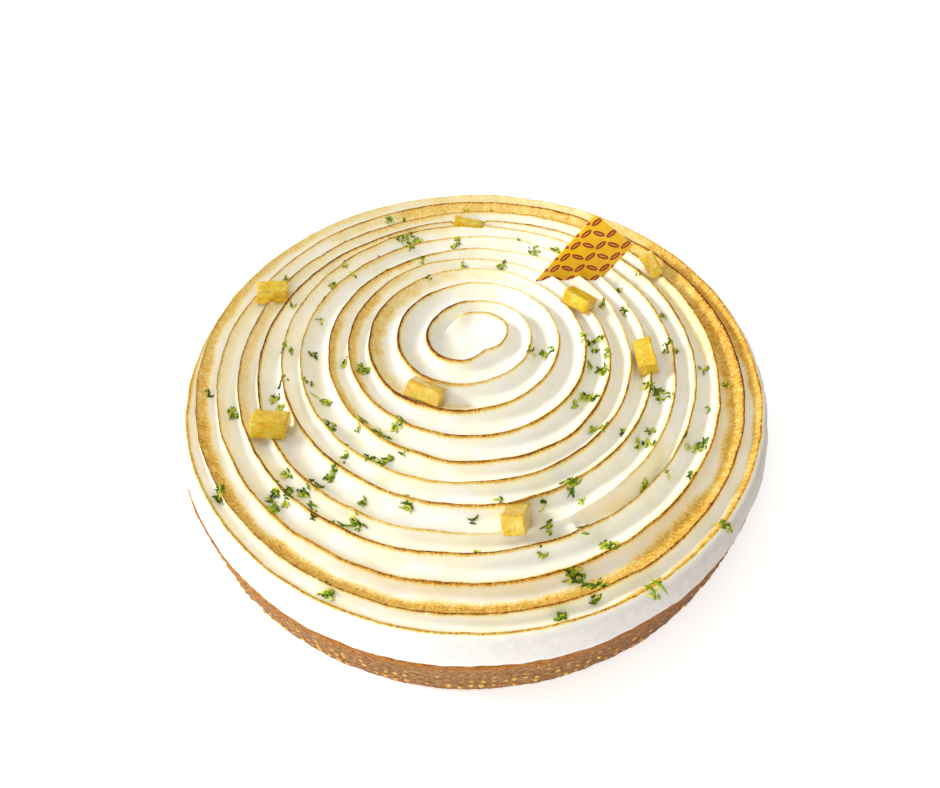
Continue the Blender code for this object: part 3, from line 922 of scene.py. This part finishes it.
def zest_spots():
    """Where each shred lies: the heaps first, then loose shreds spread over the top."""
    draw = random.Random(ZEST_SEED)
    spots = []
    for angle, distance, count in ZEST_HEAPS:
        spread = ZEST_HEAP_SPREAD * math.sqrt(count)
        for _ in range(count):
            place = polar(angle, distance) + slip(draw, spread)
            spots.append((place, draw.uniform(0, math.pi), draw.uniform(*ZEST_LENGTH)))
    for _ in range(ZEST_LOOSE):
        angle = math.degrees(draw.uniform(0, 2 * math.pi))
        place = polar(angle, 100 * math.sqrt(draw.uniform(0.05, 1.0)))
        spots.append((place, draw.uniform(0, math.pi), draw.uniform(*ZEST_LENGTH) * LOOSE_LENGTH))
    return spots


def crumb_spots():
    """The middles of the little tufts, drawn within their sectors."""
    draw = random.Random(TUFT_SEED)
    for low, high, near, far, count in CRUMB_SECTORS:
        for _ in range(count):
            yield polar(draw.uniform(low, high), draw.uniform(near, far))


print("shreds:", len(zest_spots()), "tufts of crumbs:", len(list(crumb_spots())))

# %% One curled shred
SHRED_CUTS = 6
SHRED_THINNING = 0.75  # of width and thickness, at both ends


def shred_mesh(length, width, thickness, curl, twist):
    """A strip along X, thin at both ends, curled through an angle and twisted."""
    mesh = bmesh.new()
    bmesh.ops.create_cube(mesh, size=1.0, matrix=Matrix.Diagonal((length, width, thickness, 1.0)))
    lengthwise = [
        edge for edge in mesh.edges if abs(edge.verts[0].co.x - edge.verts[1].co.x) > length / 2]
    bmesh.ops.subdivide_edges(mesh, edges=lengthwise, cuts=SHRED_CUTS, use_grid_fill=True)
    radius = length / curl
    for corner in mesh.verts:
        along = corner.co.x / length
        thin = 1.0 - SHRED_THINNING * (2 * along) ** 2
        across = Vector((0.0, corner.co.y * thin, corner.co.z * thin))
        across.rotate(Matrix.Rotation(twist * along, 3, "X"))
        bend = curl * along
        inner = radius - across.y
        corner.co = Vector((inner * math.sin(bend), radius - inner * math.cos(bend), across.z))
    return mesh


sample = shred_mesh(4 * MM, 0.8 * MM, 0.3 * MM, 1.5, 0.5)
print("a shred has", len(sample.faces), "faces")
sample.free()

# %% Lay the shreds on the meringue
ZEST_CLEARANCE = 1.4 * MM
ABOVE = 100 * MM
SHRED_STRETCH = 1.4  # before it is curled
SHRED_SECTION = ((0.5, 0.8), (0.28, 0.38))  # width and thickness, from and to, in mm
CRUMB_SIZE = ((0.8, 3.4), (0.45, 0.8), (0.28, 0.38))
CRUMB_SPREAD = 0.8 * MM
TILT = (-0.35, 0.35)  # up or down, for 1 forwards
FLATTENED = 0.85  # share of its slant to the ground that a shred loses
CURL = (0.4, 3.8)  # radians from end to end
TWIST = (-2.4, 2.4)
CRUMBS_IN_HEAP = (3, 7)
CRUMBS_AT_LOOSE = (0, 2)
CRUMBS_IN_TUFT = (4, 10)
LAYING_SEED = 5


def solid_tree(name):
    """A search tree of a plain solid."""
    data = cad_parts[name].data
    corners = [corner.co for corner in data.vertices]
    return BVHTree.FromPolygons(corners, [tuple(face.vertices) for face in data.polygons])


def lay(joined, ground, blocked, draw, place, heading, size):
    """One shred on the ground, joined to the others unless another piece is in the way."""
    tone = draw.random()
    length, width, thickness = size
    hit, normal, _, _ = ground.ray_cast(Vector((*place, ABOVE)), Vector((0, 0, -1)))
    free = length / 2 + ZEST_CLEARANCE
    if hit is None or any(tree.find_nearest(hit, free)[0] for tree in blocked):
        return
    forward = Vector((math.cos(heading), math.sin(heading), draw.uniform(*TILT)))
    forward = (forward - normal * forward.dot(normal) * FLATTENED).normalized()
    side = normal.cross(forward).normalized()
    turn = Matrix((forward, side, forward.cross(side))).transposed().to_4x4()
    mesh = shred_mesh(length, width, thickness, draw.uniform(*CURL), draw.uniform(*TWIST))
    rest = Matrix.Translation(hit + normal * (0.25 * width + 0.4 * thickness))
    bmesh.ops.transform(mesh, matrix=rest @ turn, verts=mesh.verts)
    shade = mesh.verts.layers.float.new("tone")
    for corner in mesh.verts:
        corner[shade] = tone
    scratch = written("shred", mesh)
    joined.from_mesh(scratch)
    bpy.data.meshes.remove(scratch)


def grate_zest():
    """All the zest: long shreds with crumbs round them."""
    joined = bmesh.new()
    joined.verts.layers.float.new("tone")
    ground = BVHTree.FromObject(meringue, bpy.context.evaluated_depsgraph_get())
    blocked = [solid_tree(name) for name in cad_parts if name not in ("crust", "meringue")]
    draw = random.Random(LAYING_SEED)
    heaped = sum(count for _, _, count in ZEST_HEAPS)

    def sizes(ranges):
        """Random lengths in metres, from ranges in millimetres."""
        return [draw.uniform(*span) * MM for span in ranges]

    def strew(place, least, most):
        """Some crumbs round a place."""
        for _ in range(draw.randint(least, most)):
            near = place + slip(draw, CRUMB_SPREAD)
            size = sizes(CRUMB_SIZE)
            lay(joined, ground, blocked, draw, near, draw.uniform(0, math.pi), size)

    for index, (place, heading, length) in enumerate(zest_spots()):
        size = (length * SHRED_STRETCH, *sizes(SHRED_SECTION))
        lay(joined, ground, blocked, draw, place, heading, size)
        strew(place, *(CRUMBS_IN_HEAP if index < heaped else CRUMBS_AT_LOOSE))
    for place in crumb_spots():
        strew(place, *CRUMBS_IN_TUFT)
    return joined


zest = grate_zest()
print("zest faces:", len(zest.faces))

# %% [markdown]
# Lime peel is bright green outside, pale yellow on the pith side and nearly black where
# it dries. The tone that each shred carries picks one of these, and a speckle adds the
# oil glands.

# %% Zest finish
def zest_finish():
    """Fresh lime zest in several greens."""
    finish, tree = new_finish("lime_zest", {"Roughness": 0.6, "Specular IOR Level": 0.2})
    glands = speckle(tree, 0.35 * MM, 2.0)
    tone = plus(attribute(tree, "tone"), swing(glands, 0.9))
    greens = (
        (0.05, (48, 72, 0)), (0.32, (96, 130, 2)), (0.62, (156, 182, 12)), (0.92, (228, 224, 88)))
    feed("Base Color", ramp(tone, greens))
    feed("Normal", relief(glands, 0.12 * MM, 0.7))
    return finish


finished_piece("lime_zest", zest, zest_finish(), "zest", "meringue")

# %% [markdown]
# ## The baked case
# Shortcrust baked in a perforated ring has the ring's holes printed on it as rows of
# small nubs. The wall is a profile spun round the middle, eight steps to each hole, and
# the nubs are pushed out by a rule, with finer random relief on top.

# %% Spin the wall of the case
CASE_RADIUS = 110.3 * MM
CASE_FOOT_RADIUS = 109.4 * MM
CASE_EDGE = 0.8 * MM
CASE_CORNER = 0.25 * MM
LIP_WIDTH = 3.0 * MM
NUB_COLUMNS = 230
STEPS_A_NUB = 8
NUB_ROWS = (4.0 * MM, 7.8 * MM, 11.6 * MM, 15.4 * MM)
WALL_ROWS = 39


def case_profile():
    """(radius, height) from the top of the lip down to the foot."""
    points = [
        (CASE_RADIUS - LIP_WIDTH, CASE_HEIGHT), (CASE_RADIUS - CASE_EDGE, CASE_HEIGHT),
        (CASE_RADIUS - CASE_CORNER, CASE_HEIGHT - CASE_CORNER)]
    top, foot = CASE_HEIGHT - CASE_EDGE, CASE_EDGE
    for row in range(WALL_ROWS + 1):
        share = row / WALL_ROWS
        radius = CASE_RADIUS + (CASE_FOOT_RADIUS - CASE_RADIUS) * share
        points.append((radius, top + (foot - top) * share))
    points.append((CASE_FOOT_RADIUS - CASE_CORNER, CASE_CORNER))
    return points + [(CASE_FOOT_RADIUS - CASE_EDGE, 0.0)]


def spin_case():
    """The case as a closed turned shape."""
    mesh = bmesh.new()
    corners = [mesh.verts.new((radius, 0.0, height)) for radius, height in case_profile()]
    edges = [mesh.edges.new(pair) for pair in zip(corners, corners[1:])]
    bmesh.ops.spin(
        mesh, geom=corners + edges, cent=(0, 0, 0), axis=(0, 0, 1), angle=2 * math.pi,
        steps=NUB_COLUMNS * STEPS_A_NUB, use_merge=True)
    bmesh.ops.remove_doubles(mesh, verts=mesh.verts, dist=0.001 * MM)
    bmesh.ops.holes_fill(mesh, edges=border(mesh))
    bmesh.ops.recalc_face_normals(mesh, faces=mesh.faces)
    return mesh


case = spin_case()
print("case vertices:", len(case.verts), "open edges:", len(border(case)))

# %% Push out the nubs and roughen the dough
NUB_SIZE = 0.78 * MM
NUB_HEIGHT = 0.55 * MM
NUB_SHARES = (0.1, 0.4, 0.6, 0.8, 1.0, 1.15)  # of the size, drawn for each nub
NUB_FADE = 0.22  # lost with each row upwards
NUB_SLIP = (0.14, 0.7 * MM)  # at most, of a column and in height
NUB_SQUASH = 0.85  # a nub is a little taller than wide
NUB_ROUNDNESS = 1.5  # power that makes its top flat
LEAST_GOLD = 0.2  # golden mark that even a flat nub gets
NUB_SEED = 14
DOUGH_LUMPS = ((1.1 * MM, 0.16 * MM), (3.6 * MM, 0.22 * MM), (14 * MM, 0.3 * MM))
RIM_LUMPS = ((5 * MM, 0.25 * MM),)


def nub_list():
    """Each nub as (angle, height, how far it stands out): uneven, and some hardly there."""
    draw = random.Random(NUB_SEED)
    aside, up = NUB_SLIP
    nubs = {}
    for column in range(NUB_COLUMNS):
        for row, height in enumerate(NUB_ROWS):
            angle = (column + draw.uniform(-aside, aside)) / NUB_COLUMNS * 2 * math.pi
            size = (1.0 - NUB_FADE * row) * draw.choice(NUB_SHARES)
            nubs[(column, row)] = (angle, height + draw.uniform(-up, up), size)
    return nubs


def roughen_case(mesh):
    """Nubs, small pits and a slightly wavy wall."""
    nubs = nub_list()
    nub_mark = mesh.verts.layers.float.new("nub")
    for corner in mesh.verts:
        point = corner.co.copy()
        if point.xy.length < CASE_FOOT_RADIUS - CASE_EDGE - 0.1 * MM or point.z < 0.1 * MM:
            continue
        angle = math.atan2(point.y, point.x) % (2 * math.pi)
        column = round(angle / (2 * math.pi) * NUB_COLUMNS) % NUB_COLUMNS
        bulge = 0.0
        for row in range(len(NUB_ROWS)):
            nub_angle, nub_z, size = nubs[(column, row)]
            aside = (angle - nub_angle + math.pi) % (2 * math.pi) - math.pi
            away = math.hypot(aside * CASE_RADIUS, (point.z - nub_z) * NUB_SQUASH)
            nub = bell((away / NUB_SIZE) ** NUB_ROUNDNESS)
            bulge = max(bulge, size * nub)
            # how golden a nub is painted: partly its own colour, partly a painted highlight of its top
            nub_gold_and_highlight = (LEAST_GOLD + (1.0 - LEAST_GOLD) * size) * nub
            corner[nub_mark] = max(corner[nub_mark], nub_gold_and_highlight)
        outwards = Vector((point.x, point.y, 0.0)).normalized()
        corner.co += outwards * (bulge * NUB_HEIGHT + lumps(point, DOUGH_LUMPS))
        if point.z > CASE_HEIGHT / 2:
            corner.co.z += lumps(point, RIM_LUMPS) * (point.z / CASE_HEIGHT)


roughen_case(case)
print("nubs:", NUB_COLUMNS * len(NUB_ROWS))

# %% [markdown]
# Baked dough is light brown, mottled and dry. The nubs are golden, partly their own colour
# and partly a painted highlight on their tops, which face the light. The top edge is more
# orange, and the right side, away from the light, gets a painted shade that darkens it.

# %% Case finish
EDGE_FROM = 14.6 * MM  # height from where the wall turns orange
EDGE_BLEND = 3.0 * MM
# painted shade on the case's right side: where it starts, and the colour it multiplies by
CASE_SHADE_FROM_X = 5 * MM
CASE_PAINTED_SHADE = colour(182, 150, 126)


def case_finish():
    """Dry shortcrust with golden nubs that carry a painted highlight, a browned edge and painted shade
    on its right.
    """
    finish, tree = new_finish("baked_shortcrust", {"Roughness": 0.75, "Specular IOR Level": 0.3})
    flattened = {0: spot(tree), 1: (1.0, 1.0, 2.4)}
    layered = add_node(tree, "VectorMath", flattened, operation="MULTIPLY").outputs[0]
    mottle = speckle(tree, 1.8 * MM, 4.0, layered, 0.7)
    crumbs = speckle(tree, 0.5 * MM, 3.0, rough=0.6)
    clouds = speckle(tree, 18 * MM, 2.0)
    tone = plus(times(mottle, 0.6), times(crumbs, 0.4))
    dough = ramp(tone, ((0.36, (84, 50, 18)), (0.5, (152, 102, 50)), (0.64, (210, 162, 98))))
    # the nubs' gold: partly their own colour, partly a painted highlight, as their tops face up into
    # the light
    nub_gold_and_highlight = ramp(crumbs, ((0.3, (200, 126, 30)), (0.5, (242, 184, 74)), (0.65, (252, 228, 156))))
    lit = times(minus(attribute(tree, "nub"), 0.2), 2.4, clamp=True)
    base = blend(lit, dough, nub_gold_and_highlight)
    edge = minus(spot_part(tree, "Z"), EDGE_FROM)
    edge = times(edge, 1.0 / EDGE_BLEND, clamp=True)
    edge = times(edge, plus(0.45, clouds), clamp=True)
    dark = ramp(tone, ((0.36, (114, 60, 6)), (0.5, (172, 104, 20)), (0.64, (218, 156, 60))))
    # painted shade: the dough darkens towards the right, the side away from the light
    case_shade_share = times(minus(spot_part(tree, "X"), CASE_SHADE_FROM_X), 11.0, clamp=True)
    whole = blend(edge, base, dark)
    feed("Base Color", blend(case_shade_share, whole, CASE_PAINTED_SHADE, "MULTIPLY"))
    feed("Normal", relief(plus(times(mottle, 0.6), crumbs), 0.3 * MM, 0.9))
    return finish


finished_piece("baked_case", case, case_finish(), "crust", "crust")

# %% [markdown]
# ## Candied lemon
# The batons are strips of peel, boiled in syrup and cut by hand. The plain solids have
# uneven corners from a seeded draw, and the same draw is repeated here. The edges are
# then rounded, the long edges cut up, and every vertex moved a little along its normal,
# because boiled peel is never flat.

# %% Baton meshes
BATON_EDGE = 0.5 * MM
BATON_UNEVEN = 0.08
BATON_SEED = 8
BATON_CUTS = 9
BATON_CUT_FROM = 2 * MM  # length of an edge that is cut up
PEEL_LUMPS = ((5 * MM, 0.45 * MM), (1.8 * MM, 0.2 * MM))
PEEL_SHRINK = 0.1 * MM


def baton_mesh(size, matrix, draw):
    """An uneven box with soft edges and a wavy surface, and a mark along its edges."""
    mesh = bmesh.new()
    bmesh.ops.create_cube(mesh, size=1.0, matrix=Matrix.Diagonal((*size, 1.0)))
    for corner in mesh.verts:
        corner.co = Vector([part * (1.0 - draw.uniform(0.0, BATON_UNEVEN)) for part in corner.co])
    bmesh.ops.bevel(
        mesh, geom=mesh.edges[:], offset=BATON_EDGE, offset_type="OFFSET", segments=3,
        profile=0.5, affect="EDGES", material=-1)
    long_edges = [edge for edge in mesh.edges if edge.calc_length() > BATON_CUT_FROM]
    bmesh.ops.subdivide_edges(mesh, edges=long_edges, cuts=BATON_CUTS, use_grid_fill=True)
    mesh.normal_update()
    rim = mesh.verts.layers.float.new("rim")
    half = Vector(size) / 2
    shift = Vector((draw.random(), draw.random(), draw.random()))
    moved = {}
    for corner in mesh.verts:
        inset = sorted(half[axis] - abs(corner.co[axis]) for axis in range(3))
        corner[rim] = bell(max(0.0, inset[1] - 0.1 * MM) / BATON_EDGE)
        lump = lumps(corner.co + shift, PEEL_LUMPS)
        moved[corner] = corner.co + corner.normal * (lump - PEEL_SHRINK)
    for corner, point in moved.items():
        corner.co = matrix @ point
    return mesh


print("edges are rounded by", round(BATON_EDGE / MM, 2), "mm")

# %% [markdown]
# Candied peel lets light through. Its edges, which dried first, are a little darker, and
# syrup gives it a wet coat that lies unevenly over the fibres.

# %% Candied lemon finish
def lemon_finish():
    """Wet, translucent, amber peel."""
    finish, tree = new_finish("candied_lemon", {
        "Roughness": 0.25, "Subsurface Weight": 0.5, "Subsurface Radius": (1.0, 0.75, 0.05),
        "Subsurface Scale": 3.0 * MM, "Transmission Weight": 0.25, "IOR": 1.42,
        "Coat Weight": 0.6, "Coat Roughness": 0.06, "Coat IOR": 1.45})
    fibre = speckle(tree, 1.3 * MM, 4.0, rough=0.6)
    cloud = speckle(tree, 4.5 * MM, 2.0)
    flesh = plus(times(fibre, 0.5), times(cloud, 0.5))
    base = ramp(flesh, ((0.34, (240, 188, 16)), (0.5, (254, 216, 36)), (0.66, (255, 242, 124))))
    dry = times(attribute(tree, "rim"), 0.6)
    feed("Base Color", blend(dry, base, colour(196, 128, 0)))
    wet = speckle(tree, 1.4 * MM, 3.0)
    feed("Normal", relief(plus(wet, times(fibre, 0.5)), 0.6 * MM, 1.0))
    return finish


baton_draw = random.Random(BATON_SEED)
lemon = lemon_finish()
for number, (size_mm, middle, angles) in enumerate(BATONS, start=1):
    strip = baton_mesh(Vector(size_mm) * MM, baton_pose(middle, angles), baton_draw)
    finished_piece(f"lemon_baton_{number}", strip, lemon, "candied_lemon", f"candied_lemon_{number}")

# %% [markdown]
# ## The plaque
# A thin yellow rectangle, posed like the plain one, with its foot cut level inside the
# meringue. The print is a plain pattern of leaves that slant two ways. Ink has no
# thickness, so the finish draws it from a map of the face in millimetres.

# %% Plaque mesh with a map of its face
PLAQUE_ROUNDING = 0.18 * MM


def plaque_mesh():
    """The leaning rectangle with softened edges and its map."""
    mesh = bmesh.new()
    size = (PLAQUE_WIDTH, PLAQUE_THICKNESS, PLAQUE_LENGTH)
    bmesh.ops.create_cube(mesh, size=1.0, matrix=Matrix.Diagonal((*size, 1.0)))
    bmesh.ops.bevel(
        mesh, geom=mesh.edges[:], offset=PLAQUE_ROUNDING, offset_type="OFFSET", segments=2,
        profile=0.5, affect="EDGES", material=-1)
    face_map = mesh.loops.layers.uv.new("face_map")
    for face in mesh.faces:
        for loop in face.loops:
            loop[face_map].uv = (loop.vert.co.x / MM, (loop.vert.co.z + PLAQUE_LENGTH / 2) / MM)
    bmesh.ops.transform(mesh, matrix=plaque_pose(), verts=mesh.verts)
    cut = bmesh.ops.bisect_plane(
        mesh, geom=mesh.verts[:] + mesh.edges[:] + mesh.faces[:],
        plane_co=(0.0, 0.0, PLAQUE_FOOT), plane_no=(0.0, 0.0, -1.0), clear_outer=True)
    bmesh.ops.holes_fill(mesh, edges=edges_in(cut["geom_cut"]))
    bmesh.ops.recalc_face_normals(mesh, faces=mesh.faces)
    return mesh


slab = plaque_mesh()
print("plaque faces:", len(slab.faces))

# %% Plaque finish
LEAF_PITCH = (8.4, 6.8)  # millimetres between leaves, across and down
LEAF_HALF = (2.8, 1.15)  # half a leaf's length and width
LEAF_SLANTS = (78, 20)  # degrees
VEIN_HALF = (LEAF_HALF[0] * 0.7, 0.2)


def cell(value, pitch):
    """Distance from the middle of a repeating cell."""
    shifted = plus(value, pitch / 2)
    folded = calc("FLOORED_MODULO", shifted, pitch)
    return minus(folded, pitch / 2)


def inside(across, down, half_across, half_down):
    """1 within an ellipse and 0 outside it."""
    shares = [
        times(part, 1.0 / half) for part, half in ((across, half_across), (down, half_down))]
    squares = [times(share, share) for share in shares]
    return times(minus(1.0, plus(*squares)), 5.0, clamp=True)


def leaves(across, down, slant):
    """A grid of leaves with a bare vein, all turned by the same angle."""
    leaf_x, leaf_y = cell(across, LEAF_PITCH[0]), cell(down, LEAF_PITCH[1])
    cosine, sine = math.cos(math.radians(slant)), math.sin(math.radians(slant))
    along = plus(times(leaf_x, cosine), times(leaf_y, sine))
    aside = minus(times(leaf_y, cosine), times(leaf_x, sine))
    vein = inside(along, aside, *VEIN_HALF)
    return minus(inside(along, aside, *LEAF_HALF), vein, clamp=True)


def plaque_finish():
    """Yellow, with a dark red pattern of leaves on its faces."""
    finish, tree = new_finish("yellow_plaque", {
        "Roughness": 0.38, "Subsurface Weight": 0.2, "Subsurface Radius": (1.0, 0.7, 0.1),
        "Subsurface Scale": 1.0 * MM})
    flat = add_node(tree, "UVMap", {}, uv_map="face_map").outputs[0]
    parts = add_node(tree, "SeparateXYZ", {"Vector": flat}).outputs
    across, down = parts["X"], parts["Y"]
    steep, gentle = LEAF_SLANTS
    between = (plus(across, LEAF_PITCH[0] / 2), plus(down, LEAF_PITCH[1] / 2))
    ink = calc("MAXIMUM", leaves(across, down, steep), leaves(*between, gentle))
    tint = ramp(speckle(tree, 6 * MM, 2.0), ((0.3, (242, 188, 0)), (0.7, (252, 204, 0))))
    feed("Base Color", blend(ink, tint, colour(156, 10, 20)))
    feed("Normal", relief(speckle(tree, 1.2 * MM, 2.0), 0.05 * MM, 0.4))
    return finish


finished_piece("yellow_plaque", slab, plaque_finish(), "plaque", "plaque")

# %% [markdown]
# ## Floor and light
# The tart stands on a pale floor. A light on the left makes one side of every ridge
# bright, a broad one overhead fills the valleys, one in front lights the wall, and the
# surroundings do the rest. The floor is stage: it isn't part of the tart.

# %% Floor
FLOOR_SIZE = 24.0
FLOOR_GLOW = 0.46


def make_floor():
    """A large pale sheet, not part of the tart."""
    mesh = bmesh.new()
    bmesh.ops.create_grid(mesh, x_segments=1, y_segments=1, size=FLOOR_SIZE / 2)
    data = written("floor", mesh)
    finish, _ = new_finish("pale_floor", {
        "Roughness": 0.9, "Base Color": colour(250, 250, 250), "Specular IOR Level": 0.1,
        "Emission Color": colour(255, 255, 255), "Emission Strength": FLOOR_GLOW})
    data.materials.append(finish)
    floor = add_object("floor", data)
    return floor


print("floor:", make_floor().name, FLOOR_SIZE, "m wide")

# %% Lights
LIGHTS = (  # name, power, size and place in metres, tint
    ("key", 18.3, 0.42, (-1.27, 0.2, 0.75), (1.0, 0.99, 0.97)),
    ("overhead", 5.5, 1.6, (-0.2, 0.2, 1.8), (1.0, 0.97, 0.90)),
    ("front", 6.6, 0.8, (-0.7, -1.3, 0.7), (1.0, 0.985, 0.95)))
SKY_TINT = (1.0, 0.975, 0.955, 1.0)
SKY_STRENGTH = 0.50


def soft_light(name, power, size, place, tint):
    """A square light that faces the tart."""
    data = bpy.data.lights.new(name, "AREA")
    data.energy = power
    data.size = size
    data.color = tint
    lamp = add_object(name, data)
    lamp.location = place
    lamp.rotation_euler = (-Vector(place)).to_track_quat("-Z", "Y").to_euler()
    lamp.visible_camera = False


for light in LIGHTS:
    soft_light(*light)

world = bpy.data.worlds.new("studio")
world.use_nodes = True
sky = world.node_tree.nodes["Background"]
sky.inputs["Color"].default_value = SKY_TINT
sky.inputs["Strength"].default_value = SKY_STRENGTH
bpy.context.scene.world = world
bpy.context.scene.view_settings.view_transform = "Standard"
